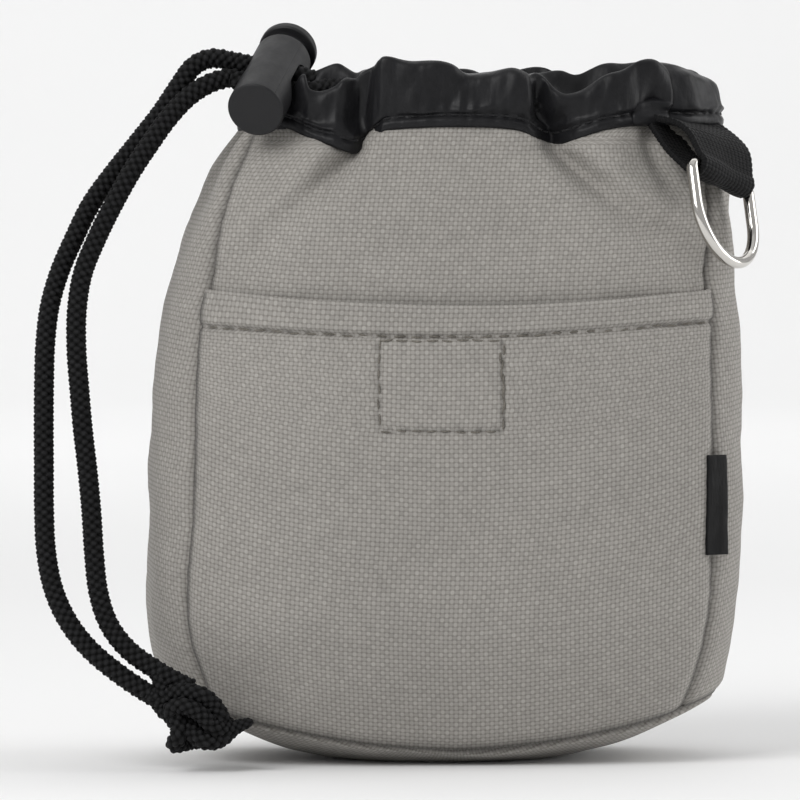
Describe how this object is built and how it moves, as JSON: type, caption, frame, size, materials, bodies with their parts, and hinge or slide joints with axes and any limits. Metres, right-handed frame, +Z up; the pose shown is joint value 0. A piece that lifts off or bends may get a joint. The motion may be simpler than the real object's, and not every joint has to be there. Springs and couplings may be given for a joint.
{
  "type": "drawstring pouch",
  "caption": "Soft standing pouch with a flat front pocket, a drawstring mouth closed by a spring cord lock, and a D-ring on a webbing loop at the side.",
  "frame": {"origin": "middle of the flat of the base, where the pouch stands", "axes": "+Z up, -Y towards the front with the pocket, +X towards the side with the D-ring"},
  "size_m": [0.1579, 0.0793, 0.1614],
  "materials": {
    "outer_fabric": "coarse two-tone grey oxford weave",
    "lining_nylon": "thin smooth black nylon",
    "casing_nylon": "thin black nylon, slight sheen",
    "hook_and_loop": "hook and loop tape",
    "thread": "sewing thread",
    "label_tape": "woven satin tape, plain",
    "webbing": "ribbed black webbing",
    "cord": "round braided black cord",
    "lock_plastic": "moulded dark grey",
    "ring_metal": "plated wire",
    "spring_steel": "spring wire"
  },
  "bodies": {
    "pouch": {"base_panel": "outer_fabric", "front_panel": "outer_fabric", "back_panel": "outer_fabric", "left_gusset": "outer_fabric", "right_gusset": "outer_fabric", "lining": "lining_nylon", "pocket_panel": "outer_fabric", "pocket_hook_patch": "hook_and_loop", "pocket_loop_patch": "hook_and_loop", "pocket_hem_thread": "thread", "patch_thread": "thread", "drawstring_casing": "casing_nylon", "casing_thread": "thread", "side_label": "label_tape", "ring_loop": "webbing", "drawstring": "cord", "outer_strand": "cord", "inner_strand": "cord", "cord_knot": "cord"},
    "ring": {"d_ring": "ring_metal"},
    "lock": {"lock_barrel": "lock_plastic", "lock_spring": "spring_steel"},
    "plunger": {"lock_plunger": "lock_plastic"}
  },
  "joints": [
    {"name": "ring_swing", "type": "hinge", "parent": "pouch", "child": "ring", "pos_m": [0.0583, -0.0222, 0.1279], "axis": [0.6201, 0.7401, -0.2601], "range_deg": [-105, 15]},
    {"name": "lock_slide", "type": "slide", "parent": "pouch", "child": "lock", "axis": [-0.9577, 0.2075, 0.1995], "range_m": [0, 0.003]},
    {"name": "button_press", "type": "slide", "parent": "lock", "child": "plunger", "axis": [-0.2779, -0.8477, -0.4518], "range_m": [0, 0.003], "stiffness_N_per_m": 600, "springref_m": -0.001, "deforming": ["lock_spring"]}
  ]
}
